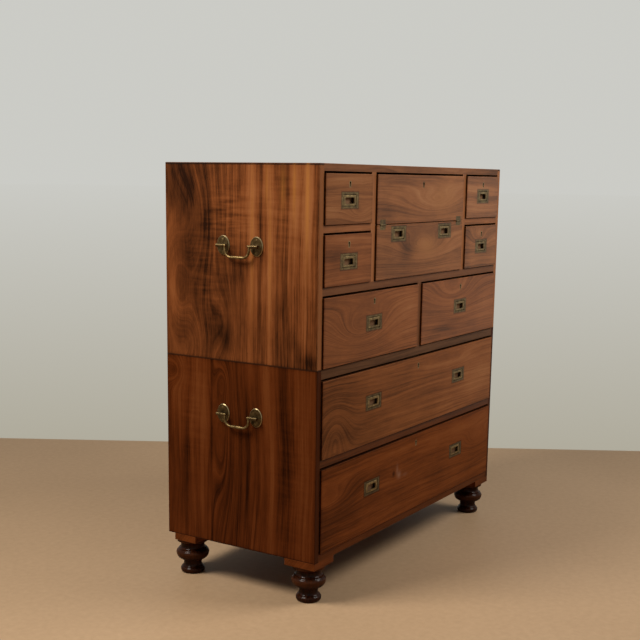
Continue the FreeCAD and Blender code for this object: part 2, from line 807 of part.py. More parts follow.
def desk_drawer_parts():
    """Secretaire drawer: fixed front, linings and bed, its brass, the fall and its brass."""
    handle_x = fall_right - handle_inset_desk
    handle_z = hinge_level - handle_drop_desk
    desk = Drawer("secretaire_drawer", desk_left, desk_right, desk_floor, fixed_front_bottom, fall_top,
                  [(-handle_x, handle_z), (handle_x, handle_z)])
    linings, joinery = drawer_linings(desk, hinge_level)
    behind_fall = box(desk_left, desk_right, face_y, fall_inner_y + rebate_clearance,
                      hinge_level, chest_top)
    linings = [single(solid.cut(behind_fall)) for solid in linings]
    joinery = [solid.cut(behind_fall) for solid in joinery]
    fixed_leaves, moving_leaves, knuckle_room = face_hinges()
    bases = [handle_base(x, z) for x, z in desk.handles]
    pockets = [handle_envelope(x, z) for x, z in desk.handles]

    front = front_block(fall_left, fall_right, fixed_front_bottom, hinge_level)
    front = single(cut_all(front, joinery + pockets + fixed_leaves + knuckle_room))

    bed = desk_bed_board()
    linings = [single(solid.cut(bed)) for solid in linings]

    fall = front_block(fall_left, fall_right, fall_bottom, fall_top)
    rebate = box(fall_left, fall_right, face_y + fall_lip, fall_inner_y + 1, fall_bottom - 1,
                 bed_top + rebate_clearance)
    fall_lock, fall_lock_hole = lock_set(0.0, fall_top - key_drop, fall_top, fall_inner_y)
    leather = writing_leather()
    fall = single(cut_all(fall, [rebate, fall_lock_hole, leather] + moving_leaves + knuckle_room))
    stays = [quadrant_stay(stay_x)]
    stays.append(mirror_x(stays[0]))
    return desk, front, linings, bed, bases + fixed_leaves, fall, fall_lock + moving_leaves + stays, leather


def desk_bed_board():
    """Writing bed, grooved into the drawer's sides behind the slots for the stays."""
    back = inner_back_y - drawer_back_room - drawer_back
    x0 = fall_left + lining - bottom_groove
    bed = box(x0, -x0, face_y + fall_lip + rebate_clearance, back, bed_top - desk_bed, bed_top)
    slot_back = face_y + stay_radius + stay_width / 2 + stay_clearance
    slot = box(x0 - 1, bed_left, face_y, slot_back, bed_top - desk_bed - 1, bed_top + 1)
    return single(cut_all(bed, [slot, mirror_x(slot)]))


def pigeonholes():
    """Case of pigeonholes on the back of the bed, each bay with an arched valance."""
    y1 = inner_back_y - drawer_back_room - drawer_back
    y0 = y1 - nest_depth
    x0 = fall_left + lining
    x1 = -x0
    top_z = bed_top + nest_height
    step = (x1 - x0 - nest_board) / nest_bays
    roof = box(x0, x1, y0, y1, top_z - nest_board, top_z)
    uprights = [box(x0 + i * step, x0 + i * step + nest_board, y0, y1, bed_top, top_z - nest_board)
                for i in range(nest_bays + 1)]
    valances = []
    for i in range(nest_bays):
        left = x0 + i * step + nest_board
        right = x0 + (i + 1) * step
        low = top_z - nest_board - valance_height
        block = box(left, right, y0, y0 + nest_board, low, top_z - nest_board)
        span = right - left
        radius = (span ** 2 / 4 + valance_rise ** 2) / (2 * valance_rise)
        centre = V((left + right) / 2, y0, low + valance_rise - radius)
        arch = Part.makeCylinder(radius, nest_board, centre, V(0, 1, 0))
        valances.append(single(block.cut(arch)))
    return [roof] + uprights + valances


# ---------------------------------------------------------------- carry handles
def oval_plate(face_x, side, y, z):
    """Oval back plate with a bevelled rim."""
    centre = V(face_x, y, z)
    long_end = V(face_x, y, z + carry_plate_height / 2)
    short_end = V(face_x, y + carry_plate_width / 2, z)
    rim = Part.Wire(Part.Ellipse(long_end, short_end, centre).toShape())
    plate = Part.Face(rim).extrude(V(side * carry_plate_thickness, 0, 0))
    outer_x = face_x + side * carry_plate_thickness
    return chamfered(plate, carry_plate_bevel, lambda middle, bounds: bounds.XLength < 0.01
                     and abs(middle.x - outer_x) < 0.01)


def carry_plates(z, side):
    """Two oval back plates on one side board, each with a barrel for the bail's pin."""
    face_x = side * half_width
    plates = []
    for hand in (-1, 1):
        y = carry_middle_y() + hand * carry_spacing / 2
        pivot_x = face_x + side * carry_stand_off
        inner_y = carry_middle_y() + hand * carry_barrel_start()
        outer_y = inner_y + hand * carry_barrel_length
        boss_y = (inner_y + outer_y) / 2
        boss = rod(V(face_x, boss_y, z), V(pivot_x, boss_y, z), carry_boss_radius)
        barrel = rod(V(pivot_x, inner_y, z), V(pivot_x, outer_y, z), carry_barrel_radius)
        barrel = chamfered(barrel, carry_barrel_bevel, lambda middle, bounds: bounds.YLength < 0.01)
        bore = rod(V(pivot_x, inner_y - hand, z),
                   V(pivot_x, inner_y + hand * (carry_pin_length + carry_pin_room), z),
                   carry_pin_radius + pin_clearance)
        plates.append(single(oval_plate(face_x, side, y, z).fuse([boss, barrel]).cut(bore)))
    return plates


def carry_middle_y():
    return (front_y + back_y) / 2 - carry_forward


def carry_barrel_start():
    """Inner end of a barrel from the middle of the handle."""
    return carry_spacing / 2 - carry_barrel_inset


def carry_leg_y():
    """Bail's leg from the middle of the handle."""
    return carry_barrel_start() - carry_end_gap - carry_eye_length / 2


def carry_bail(z, side):
    """Swinging drop handle: eyes on its pins, thin legs, and a bar that thickens to the grip."""
    x = side * (half_width + carry_stand_off)
    y = carry_leg_y()
    middle = carry_middle_y()
    corner = carry_bail_corner
    straight = carry_bail_drop - corner
    half_grip = carry_grip_length / 2

    def point(dy, dz):
        return V(x, middle + dy, z + dz)

    leg = Part.makeCone(carry_leg_radius, carry_shoulder_radius, straight, point(y, 0), V(0, 0, -1))
    bend_start = Part.makeCircle(carry_shoulder_radius, point(y, -straight), V(0, 0, -1))
    bend = Part.Face(Part.Wire(bend_start)).revolve(point(y - corner, -straight), V(-1, 0, 0), 90)
    swell = Part.makeCone(carry_shoulder_radius, carry_grip_radius, y - corner - half_grip,
                          point(y - corner, -carry_bail_drop), V(0, -1, 0))
    grip = rod(point(half_grip, -carry_bail_drop), point(-half_grip, -carry_bail_drop), carry_grip_radius)
    eye = rod(point(y - carry_eye_length / 2, 0), point(y + carry_eye_length / 2, 0), carry_eye_radius)
    pin = rod(point(y, 0), point(carry_barrel_start() + carry_pin_length, 0), carry_pin_radius)
    half = leg.fuse([bend, swell, eye, pin])
    return single(grip.fuse([half, half.mirror(V(0, middle, 0), V(0, 1, 0))]))


# ---------------------------------------------------------------- build and export
def main():
    os.makedirs("parts", exist_ok=True)
    tenons = foot_tenons()

    bottom, top, rail, back, left, right = lower_carcase()
    export("lower_left_side", [single(cut_all(left, tenons))])
    export("lower_right_side", [single(cut_all(right, tenons))])
    export("lower_bottom_board", [single(cut_all(bottom, tenons))])
    pegs = locating_pegs()
    export("lower_top_board", [single(cut_all(top, pegs))] + pegs)
    export("lower_drawer_rail", rail)
    export("lower_back_boards", back)
    export("corner_blocks", corner_blocks())
    export("turned_feet", turned_feet())

    bottom, top, rail, back, left, right, small_rails, columns, divider = upper_carcase()
    sockets = locating_pegs(peg_clearance)
    export("upper_left_side", [left])
    export("upper_right_side", [right])
    export("upper_bottom_board", [single(cut_all(bottom, sockets))])
    export("upper_top_board", [top])
    export("upper_mid_rail", rail)
    export("upper_back_boards", back)
    export("half_drawer_partition", [divider])
    export("column_partitions", columns)
    export("small_drawer_rails", small_rails)

    for drawer in drawer_list():
        front, linings, brass = drawer_parts(drawer)
        if drawer.name in ("bottom_drawer", "long_drawer"):
            export(drawer.name + "_front", [front])
            export(drawer.name + "_box", linings)
        else:
            export(drawer.name, [front] + linings)
        export(drawer.name + "_brass", brass)
        export_bails(drawer)

    desk, front, linings, bed, brass, fall, fall_brass, leather = desk_drawer_parts()
    export("secretaire_front", [front])
    export("secretaire_box", linings + [bed])
    export("secretaire_brass", brass)
    export("pigeonholes", pigeonholes())
    export("secretaire_fall", [fall])
    export("fall_brass", fall_brass)
    export("fall_leather", [leather])
    export_bails(desk)

    levels = {"upper": joint_level + carry_level_upper, "lower": lower_bottom + carry_level_lower}
    for section, z in levels.items():
        export(section + "_carry_plates", carry_plates(z, -1) + carry_plates(z, 1))
        export(section + "_carry_bail_left", [carry_bail(z, -1)])
        export(section + "_carry_bail_right", [carry_bail(z, 1)])


def bail_names(drawer):
    if len(drawer.handles) == 1:
        return [drawer.name + "_bail"]
    return [drawer.name + "_bail_left", drawer.name + "_bail_right"]


def export_bails(drawer):
    for name, (x, z) in zip(bail_names(drawer), drawer.handles):
        export(name, [flush_bail(x, z)])


main()
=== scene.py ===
import json
import math

import bmesh
import bpy
from mathutils import Matrix, Vector


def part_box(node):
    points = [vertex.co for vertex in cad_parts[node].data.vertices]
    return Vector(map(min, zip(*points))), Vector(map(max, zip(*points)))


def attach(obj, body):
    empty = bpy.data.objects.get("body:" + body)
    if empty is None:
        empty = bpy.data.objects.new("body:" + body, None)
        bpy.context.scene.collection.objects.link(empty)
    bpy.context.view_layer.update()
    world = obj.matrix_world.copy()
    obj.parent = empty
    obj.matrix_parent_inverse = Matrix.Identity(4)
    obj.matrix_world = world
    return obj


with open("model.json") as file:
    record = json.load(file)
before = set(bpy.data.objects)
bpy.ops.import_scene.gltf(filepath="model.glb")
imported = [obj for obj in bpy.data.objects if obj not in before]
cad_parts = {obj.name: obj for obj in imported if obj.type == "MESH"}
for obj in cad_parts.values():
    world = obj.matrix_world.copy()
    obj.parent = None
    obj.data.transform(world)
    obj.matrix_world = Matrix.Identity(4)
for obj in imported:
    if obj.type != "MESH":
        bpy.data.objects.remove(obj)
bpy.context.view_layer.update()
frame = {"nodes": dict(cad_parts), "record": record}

NODES = frame["nodes"]
BODIES = frame["record"]["behaviour"]["bodies"]
BODY_OF = {node: body for body, members in BODIES.items() for node in members}

# Faces and levels of the chest, and sizes of its boards and fittings, in metres
FACE_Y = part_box("bottom_drawer_front")[0].y     # faces of the drawer fronts
FRONT_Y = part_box("lower_left_side")[0].y        # front edges of the carcases
HALF_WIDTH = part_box("lower_right_side")[1].x
JOINT_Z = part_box("lower_left_side")[1].z        # where the two sections meet
SIDE_THICKNESS = 0.018
INNER_X = HALF_WIDTH - SIDE_THICKNESS
FRONT_THICKNESS = 0.020
WEAR_AND_HIGHLIGHT_RISE = 0.0011                              # lower edge of the wear and of the painted arris highlight on small and half drawers
DRAWER_BACK = 0.009
BACK_PLANKS = 3
PLATE_HALF = (0.0380, 0.0185)                   # flush handle's plate
PLATE_SCREW = (0.0334, 0.0135)                  # from that plate's middle
BAIL_SHADE_DEPTH = (0.0006, 0.0018)                     # behind the plate's face, start and full of the painted shade round the bail and in the cup
CUP_FLOOR = (0.0084, 0.0093)                    # behind it as well, where the cup's floor turns a lighter tan as painted light
LINER_RISE = 0.022                              # keyhole liner above the plate's middle
CARRY_SPACING = 0.097                           # between the plates of a carrying handle
CARRY_PLATE_FACE = 0.0034                       # out from the side
CARRY_SCREW_RISE = 0.0150                       # from the pivot, up and down
CARRY_EYE = 0.0035                              # bail's top above its pivot
HINGE_INSET = 0.028
HINGE_SCREWS = (-0.0070, 0.0080)                # below and above the hinge line
NAIL_INSET = 0.005
PLATE_SCREW_RADIUS = 0.0019
HINGE_SCREW_RADIUS = 0.0021
CARRY_SCREW_RADIUS = 0.0026
NAIL_RADIUS = 0.0028
SCREW_RISE = 0.0002
NAIL_RISE = 0.00005
SLOT_SHARE = 0.15                               # half a screw's slot, of its head's radius
CROWN_SHARE = 0.86                              # top of the head, of its rim
HEAD_STEPS = 8                                  # round each half of a head
FIRST_TURN = 0.7                                # of the slots, in radians
NEXT_TURN = 1.9

# Camera, fitted to the edges in the photograph
LENS_MM = 62.68
SENSOR_MM = 36.0
FRAME_SHIFT = 0.10
CAMERA_AT = (-2.6172, -1.57165, 1.0076)
CAMERA_RIGHT = (0.53729967, -0.8432652, 0.01458964)
CAMERA_UP = (0.144982, 0.10939118, 0.98336859)
CAMERA_BACK = (-0.83083649, -0.52624839, 0.18103412)

# Middle tones of the woods; the lower ones are darker, partly their own tone and partly painted shade of
# the light falling off downward
SIDE_UPPER = (0.152, 0.0455, 0.0125)
SIDE_LOWER_SHADED = (0.086, 0.0200, 0.0040)
UPPER_FRONT = (0.228, 0.0860, 0.0290)
HALF_FRONT = (0.212, 0.0710, 0.0220)
LONG_FRONT = (0.195, 0.0650, 0.0190)
BOTTOM_FRONT_SHADED = (0.152, 0.0400, 0.0085)
RAIL = (0.135, 0.0500, 0.0180)
# The short rails and partitions are lighter as painted light
SHORT_RAIL_LIT = (0.280, 0.1050, 0.0370)
PARTITION_LIT = (0.310, 0.1200, 0.0430)
BAND = (0.110, 0.0500, 0.0230)
BLOCK = (0.100, 0.0260, 0.0055)
CORNER_BLOCK = (0.135, 0.0350, 0.0075)
TOP = (0.190, 0.0740, 0.0280)

# Colours laid over them
# Front edges of the sides: the upper one lighter as painted light, the lower one darker as painted shade
UPPER_EDGE_LIT = (0.300, 0.115, 0.041)
LOWER_EDGE_SHADED = (0.040, 0.011, 0.004)
END_GRAIN = (0.095, 0.0330, 0.0115)
GOLD = (0.430, 0.175, 0.036)
FRONT_GOLD = (0.340, 0.150, 0.044)
SCUFF = (0.330, 0.190, 0.130)
# Dark colour of dirt in joints and round handles, and of painted shade in the gaps round the fronts
DIRT_AND_SHADE = (0.010, 0.005, 0.003)
SPECK = (0.018, 0.007, 0.003)
DUST = (0.130, 0.075, 0.036)

# Ramps of the woods left raw
LINING = [(0.25, (0.070, 0.029, 0.010)), (0.52, (0.180, 0.082, 0.029)), (0.80, (0.300, 0.155, 0.062))]
OLD_PINE = [(0.25, (0.075, 0.037, 0.014)), (0.52, (0.185, 0.096, 0.037)), (0.80, (0.300, 0.172, 0.075))]

# Feet, with the parts worn brown
FOOT_RAMP = [(0.3, (0.0070, 0.0018, 0.0006)), (0.7, (0.0400, 0.0100, 0.0026))]
FOOT_COLLAR = (0.080, 0.023, 0.006)
FOOT_RING = (0.100, 0.028, 0.007)
FOOT_RIM = (0.050, 0.022, 0.010)

# Brass, with the tones of each piece on it, and leather
BRASS_RAMP = [(0.30, (0.070, 0.042, 0.014)), (0.50, (0.200, 0.128, 0.045)), (0.72, (0.400, 0.290, 0.125))]
# Cup colours: walls darkened as painted shade, floor a lighter tan as painted light
CUP_WALL_SHADE = (0.012, 0.007, 0.004)
CUP_FLOOR_LIT = (0.260, 0.140, 0.072)
BRIGHT_LINER = (0.42, 0.30, 0.15)
# Rim colour of the carrying plates, partly wear and partly a painted highlight
BRIGHT_RIM_AND_HIGHLIGHT = (0.50, 0.38, 0.20)
BAIL_TONE = 0.95
SCREW_TONE = 0.6
# Lower fittings get darker tones as painted shade of the light falling off downward
CARRY_TONES = {"upper": (0.78, 0.44), "lower": (0.60, 0.38)}     # of the bail and of its plates
PLATE_TONES = {"bottom": 0.38, "long": 0.50, "half": 0.60, "secretaire": 0.60, "fall": 0.56, "small": 0.66}
LEATHER_RAMP = [(0.3, (0.012, 0.026, 0.014)), (0.7, (0.040, 0.066, 0.034))]
GILT = (0.42, 0.27, 0.08)

# Stage and light
WALL_NORMAL = Vector((0.857, 0.515, 0.0))
WALL_AT = 1.130
WALL_BLUR = 0.004
WALL_FADE = 5.0                                 # past the wall's line, half way to its far colour
# The wall's colour is darker near the floor as painted shade
WALL_NEAR_SHADED = (0.430, 0.405, 0.330)
WALL_FAR = (0.600, 0.600, 0.565)
FLOOR_HALF = 90.0                               # half the floor's side
FLOOR_RAMP = [(0.30, (0.370, 0.243, 0.137)), (0.70, (0.445, 0.297, 0.174))]
FLOOR_FAR = (0.390, 0.255, 0.148)
FLOOR_GLOW = (1.5, 3.6)                         # from the chest, where the far floor starts and is full
AMBIENT = 0.055
AMBIENT_COLOUR = (1.0, 0.90, 0.78)
KEY = {"place": (-1.75, 0.75, 2.35), "target": (-0.45, 0.0, 0.70), "width": 1.0, "height": 1.0,
       "power": 72.0, "colour": (1.0, 0.95, 0.88)}
FILL = {"place": (0.9, -1.9, 2.45), "target": (0.0, -0.2, 0.70), "width": 1.5, "height": 1.2,
        "power": 63.0, "colour": (1.0, 0.97, 0.93)}


# ---------------------------------------------------------------- camera
def make_camera():
    """The photographer stood left of the chest, with the lens near the level of its top."""
    data = bpy.data.cameras.new("camera")
    data.lens = LENS_MM
    data.sensor_width = SENSOR_MM
    data.sensor_fit = "HORIZONTAL"
    data.shift_y = FRAME_SHIFT
    data.clip_end = 200.0
    camera = bpy.data.objects.new("camera", data)
    turn = Matrix((CAMERA_RIGHT, CAMERA_UP, CAMERA_BACK)).transposed().to_4x4()
    camera.matrix_world = Matrix.Translation(CAMERA_AT) @ turn
    bpy.context.scene.collection.objects.link(camera)
    bpy.context.scene.camera = camera


# ---------------------------------------------------------------- node formulas
AXES = {"x": 0, "y": 1, "z": 2}


class Graph:
    """Writes the node tree of a material, or of the world, as formulas."""

    def __init__(self, owner):
        self.owner = owner
        owner.use_nodes = True
        self.tree = owner.node_tree
        self.tree.nodes.clear()
        self.xyz = self.place() if isinstance(owner, bpy.types.Material) else None

    def add(self, kind, inputs=None, **settings):
        node = self.tree.nodes.new(kind)
        for key, value in settings.items():
            setattr(node, key, value)
        for key, value in (inputs or {}).items():
            self.put(node.inputs[key], value)
        return node

    def put(self, socket, value):
        if isinstance(value, bpy.types.NodeSocket):
            self.tree.links.new(value, socket)
        elif isinstance(value, tuple) and len(value) == 3 and socket.type == "RGBA":
            socket.default_value = (*value, 1.0)
        else:
            socket.default_value = value

    def math(self, operation, a, b=0.0, clamp=False):
        node = self.add("ShaderNodeMath", {0: a, 1: b}, operation=operation, use_clamp=clamp)
        return node.outputs[0]

    def plus(self, *values):
        total = values[0]
        for value in values[1:]:
            total = self.math("ADD", total, value)
        return total

    def minus(self, a, b):
        return self.math("SUBTRACT", a, b)

    def times(self, a, b):
        return self.math("MULTIPLY", a, b)

    def least(self, a, b):
        return self.math("MINIMUM", a, b)

    def most(self, a, b):
        return self.math("MAXIMUM", a, b)

    def about(self, value, amount):
        """A noise value turned into a change of up to half the amount, up or down."""
        return self.times(self.minus(value, 0.5), amount)

    def step(self, value, low, high):
        """0 at low, 1 at high, smooth between."""
        node = self.add("ShaderNodeMapRange", {"Value": value, "From Min": low, "From Max": high},
                        interpolation_type="SMOOTHSTEP", clamp=True)
        return node.outputs[0]

    def fade(self, value, low, high):
        """1 at low, 0 at high, smooth between."""
        return self.minus(1.0, self.step(value, low, high))

    def band(self, value, start, full, fade, end):
        """1 from full to fade, and 0 up to start and from end on."""
        return self.times(self.step(value, start, full), self.fade(value, fade, end))

    def place(self):
        """x, y and z on the piece, in metres."""
        coordinates = self.add("ShaderNodeTexCoord").outputs["Object"]
        return list(self.add("ShaderNodeSeparateXYZ", {0: coordinates}).outputs)

    def vector(self, x, y, z):
        return self.add("ShaderNodeCombineXYZ", {0: x, 1: y, 2: z}).outputs[0]

    def noise(self, vector, scale, detail=2.0, roughness=0.5):
        node = self.add("ShaderNodeTexNoise", {"Vector": vector, "Scale": scale, "Detail": detail,
                                               "Roughness": roughness})
        return node.outputs[0]

    def cloud(self, scale, detail=2.0, roughness=0.5):
        return self.noise(self.vector(*self.xyz), scale, detail, roughness)

    def stretched(self, u, v, seed, detail=2.0, roughness=0.5):
        """Noise with a scale of its own each way: u and v are (number, scale)."""
        return self.noise(self.vector(self.times(*u), self.times(*v), seed), 1.0, detail, roughness)

    def lines(self, value, scale, detail=2.0, roughness=0.5):
        """Noise along one number, for streaks that follow it."""
        node = self.add("ShaderNodeTexNoise", {"W": value, "Scale": scale, "Detail": detail,
                                               "Roughness": roughness}, noise_dimensions="1D")
        return node.outputs[0]

    def spot(self, u, v, at):
        """Soft oval hill, 1 in its middle; at gives the middle and the half lengths."""
        du = self.math("DIVIDE", self.minus(u, at[0]), at[2])
        dv = self.math("DIVIDE", self.minus(v, at[1]), at[3])
        far = self.plus(self.times(du, du), self.times(dv, dv))
        return self.math("EXPONENT", self.times(far, -1.0))

    def ramp(self, value, stops):
        node = self.add("ShaderNodeValToRGB", {0: value})
        elements = node.color_ramp.elements
        while len(elements) < len(stops):
            elements.new(0.5)
        for element, (place, colour) in zip(elements, stops):
            element.position = place
            element.color = (*colour, 1.0)
        return node.outputs[0]

    def mix(self, factor, a, b):
        """Mix of two colours."""
        return self.add("ShaderNodeMix", {0: factor, 6: a, 7: b}, data_type="RGBA").outputs[2]

    def over(self, colour, tint, zone, share):
        """Tint laid over a colour in a zone, by a share."""
        return self.mix(self.times(zone, share), colour, tint)

    def blend(self, factor, a, b):
        """Mix of two numbers."""
        return self.plus(self.times(a, self.minus(1.0, factor)), self.times(b, factor))

    def bump(self, height, distance, strength):
        return self.add("ShaderNodeBump", {"Height": height, "Distance": distance,
                                           "Strength": strength}).outputs[0]

    def finish(self, colour, roughness, normal, **constants):
        """The material, with constants such as coat_weight set on the shader itself."""
        shader = self.add("ShaderNodeBsdfPrincipled", {"Base Color": colour, "Roughness": roughness,
                                                       "Normal": normal})
        for key, value in constants.items():
            shader.inputs[key.replace("_", " ").title().replace("Ior", "IOR")].default_value = value
        self.add("ShaderNodeOutputMaterial", {"Surface": shader.outputs[0]})
        return self.owner


def surface(name):
    """Graph of a new material."""
    return Graph(bpy.data.materials.new(name))


# ---------------------------------------------------------------- wood
def tinted(base, spread=0.62):
    """Ramp of a wood about one colour, from its dark lines to its light, more golden streaks."""
    def shade(level, gold):
        return (base[0] * level, base[1] * level * gold, base[2] * level * gold ** 2)

    return [(0.20, shade((1 - spread) ** 1.5, 0.93)), (0.40, shade(1 - spread * 0.45, 0.96)),
            (0.56, shade(1 + spread * 0.25, 1.0)), (0.80, shade(1 + spread, 1.20))]


def arris_distance(g, box):
    """Distance to the nearest arris of a board: on its surface, the middle one of three distances."""
    low, high = box
    a, b, c = [g.least(g.minus(g.xyz[i], low[i]), g.minus(high[i], g.xyz[i])) for i in range(3)]
    return g.most(g.least(a, b), g.least(g.most(a, b), c))


def polished_wood(g, along, across, box, seed, ramp, bands=0.40, pitch=20.0, wave=0.018, fibres=0.55,
                  rings=0.10, clouds=0.30, knots=(), patches=(), ripples=(), calm=(), edge=0.22):
    """Colour, roughness and relief of polished hardwood.

    The growth lines are the level lines of a field across the board, bent by noise and by
    knots: (along, across, half length, half width, bend). Patches have a last number of
    tone, by which they shade the wood, and ripples one by which they lay curl across the
    grain. The streaks fade out by the last number of each calm place."""
    u = g.xyz[AXES[along]]
    v = g.xyz[AXES[across]]
    inward = g.xyz[3 - AXES[along] - AXES[across]]
    v_in = g.plus(v, g.times(inward, 0.8))
    field = g.plus(v_in, seed, g.about(g.noise(g.vector(u, g.times(v_in, 3.2), seed), 3.0, 2.0, 0.45),
                                       2 * wave))
    for knot in knots:
        field = g.plus(field, g.times(g.spot(u, v, knot), knot[4]))

    # Grain
    broad = g.lines(field, pitch, 2.0, 0.5)
    streaks = g.stretched((u, 3.5), (field, 120.0), seed, 5.0, 0.68)
    late = g.step(g.lines(field, pitch * 9.0, 1.0, 0.5), 0.55, 0.68)
    presence = g.stretched((u, 5.0), (v_in, 11.0), seed + 2.0, 1.0)
    pores = g.stretched((u, 30.0), (v_in, 420.0), seed, 2.0, 0.7)
    mottle = g.stretched((u, 5.0), (v_in, 9.0), seed + 4.0, 4.0, 0.62)
    fine = g.minus(g.about(streaks, fibres), g.times(g.times(late, rings), g.step(presence, 0.35, 0.60)))
    for place in calm:
        fine = g.times(fine, g.minus(1.0, g.times(g.spot(u, v, place), place[4])))
    tone = g.plus(0.5, g.about(broad, bands), fine, g.about(mottle, clouds), g.about(pores, 0.20))
    for patch in patches:
        tone = g.plus(tone, g.times(g.spot(u, v, patch), patch[4]))
    for ripple in ripples:
        curl = g.stretched((u, 110.0), (v_in, 12.0), seed + 9.0)
        tone = g.plus(tone, g.times(g.about(curl, ripple[4]), g.spot(u, v, ripple)))

    # Grime beside the arrises, a lighter line on them that is partly wear and partly a painted highlight,
    # and specks all over
    near = arris_distance(g, box)
    scuff = g.cloud(90.0, 3.0, 0.6)
    grime = g.fade(g.plus(near, g.times(scuff, 0.006)), 0.002, 0.014)
    rub = g.fade(g.plus(near, g.about(scuff, 0.006)), 0.0002, 0.0020)
    speck = g.step(g.cloud(260.0), 0.68, 0.76)
    # Lighter colour along the arrises, partly wear and partly a painted highlight
    worn = tuple(1.6 * channel for channel in ramp[2][1])
    colour = g.ramp(g.minus(tone, g.times(grime, 0.07)), ramp)
    colour = g.over(colour, worn, rub, edge)
    colour = g.over(colour, SPECK, speck, 0.40)
    gloss = g.plus(0.36, g.about(mottle, 0.14), g.times(speck, 0.25), g.times(rub, 0.10))
    return colour, gloss, g.plus(g.times(pores, 0.6), g.times(scuff, 0.5))


def raw_wood(g, along, across, seed, ramp, gloss=0.62, pitch=34.0, planks=None):
    """Colour, roughness and relief of the unpolished wood of linings, shelves and backs.

    Planks give the lowest joint and the plank width, across."""
    u = g.xyz[AXES[along]]
    v = g.plus(g.xyz[AXES[across]], g.times(g.xyz[3 - AXES[along] - AXES[across]], 0.7))
    shift = seed
    joint = 0.0
    if planks:
        place = g.math("DIVIDE", g.minus(g.xyz[AXES[across]], planks[0]), planks[1])
        shift = g.plus(g.times(g.math("FLOOR", place), 0.731), seed)
        joint = g.step(g.math("ABSOLUTE", g.minus(g.math("FRACT", place), 0.5)), 0.492, 0.497)
    wander = g.stretched((u, 2.0), (v, 6.0), shift)
    field = g.plus(v, shift, g.times(wander, 0.04))
    streaks = g.stretched((u, 3.0), (field, 130.0), seed, 5.0, 0.65)
    pores = g.stretched((u, 16.0), (v, 500.0), seed, 2.0, 0.6)
    tone = g.plus(0.5, g.about(g.lines(field, pitch, 3.0), 0.24), g.about(streaks, 0.50),
                  g.about(pores, 0.15))
    if planks:
        tone = g.plus(tone, g.about(g.lines(shift, 3.0), 0.30))
    dust = g.cloud(9.0, 3.0, 0.6)
    colour = g.over(g.ramp(tone, ramp), DUST, g.step(dust, 0.45, 0.75), 0.25)
    colour = g.over(colour, DIRT_AND_SHADE, joint, 0.85)
    return colour, g.plus(gloss, g.about(dust, 0.2)), g.minus(pores, g.times(joint, 2.0))


def drawer_lining(g, seed, back):
    """Raw wood of a drawer. Its grain runs from front to back, and across in the back board,
    which starts at back, in y."""
    long_grain = raw_wood(g, "y", "x", seed, LINING)
    cross_grain = raw_wood(g, "x", "z", seed + 0.5, LINING)
    turn = g.step(g.xyz[1], back - 0.0003, back - 0.0001)
    return (g.mix(turn, long_grain[0], cross_grain[0]), g.blend(turn, long_grain[1], cross_grain[1]),
            g.blend(turn, long_grain[2], cross_grain[2]))


def wood(name, along, across, box, seed, ramp, raw=None, lining_back=None, tints=(), marks=(), holes=(),
         shine=0.10, **look):
    """Polished wood. Raw, (axis, start, full), is where it turns raw: all of one grain, or a
    drawer's linings where lining_back says at what y their back board starts. Tints are zones
    of another colour, (axis, start, full, share, colour), and marks are spots of one, (along,
    across, half length, half width, share, colour). Dirt has gathered round the holes, (x, z,
    half width, half height)."""
    g = surface(name)
    colour, gloss, relief = polished_wood(g, along, across, box, seed, ramp, **look)
    for axis, start, full, share, tint in tints:
        zone = g.step(g.plus(g.xyz[AXES[axis]], g.about(g.cloud(140.0), 0.0012)), start, full)
        colour = g.over(colour, tint, zone, share)
    for mark in marks:
        spot = g.spot(g.xyz[AXES[along]], g.xyz[AXES[across]], mark)
        colour = g.over(colour, mark[5], spot, mark[4])
    for x, z, half_width, half_height in holes:
        du = g.minus(g.math("ABSOLUTE", g.minus(g.xyz[0], x)), half_width)
        dv = g.minus(g.math("ABSOLUTE", g.minus(g.xyz[2], z)), half_height)
        out = g.plus(g.most(du, dv), g.about(g.cloud(240.0), 0.0030))
        colour = g.over(colour, DIRT_AND_SHADE, g.fade(out, 0.0004, 0.0042), 0.62)
    if raw:
        if lining_back:
            inside, dull, grain = drawer_lining(g, seed, lining_back)
        else:
            inside, dull, grain = raw_wood(g, along, across, seed, LINING)
        bare = g.step(g.xyz[AXES[raw[0]]], raw[1], raw[2])
        colour = g.mix(bare, colour, inside)
        gloss = g.blend(bare, gloss, dull)
        relief = g.blend(bare, relief, grain)
    return g.finish(colour, gloss, g.bump(relief, 0.0002, 0.35), specular_ior_level=shine)


def plain(g, colour, dull, grain):
    """Finished material of raw wood."""
    return g.finish(colour, dull, g.bump(grain, 0.0002, 0.4), specular_ior_level=0.2)


def paint(node, material):
    """Gives a CAD node its material, in place of the one it came with."""
    for slot in NODES[node].material_slots:
        slot.link = "OBJECT"
        slot.material = material


def middle(node):
    """Middle of a node's box."""
    low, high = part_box(node)
    return (low + high) / 2


def side_tints(box, edge):
    """Edge to the front, lighter on an upper side as painted light and darker on a lower side as painted
    shade, and dirt in the joints below and above. An upper side ends in bare end grain, in the chest's
    top."""
    bottom = box[0].z
    top = box[1].z
    # The front edge is lighter on an upper side as painted light and darker on a lower side as painted
    # shade
    tints = [("y", FRONT_Y + 0.0022, FRONT_Y + 0.0004, 0.75, edge),
             ("z", bottom + 0.0028, bottom + 0.0012, 0.75, DIRT_AND_SHADE)]
    if top > JOINT_Z + 0.1:
        return tints + [("z", top - 0.0056, top - 0.0040, 0.80, DIRT_AND_SHADE),
                        ("z", top - 0.0016, top - 0.0008, 0.90, END_GRAIN)]
    return tints + [("z", top - 0.0032, top - 0.0012, 0.75, DIRT_AND_SHADE)]


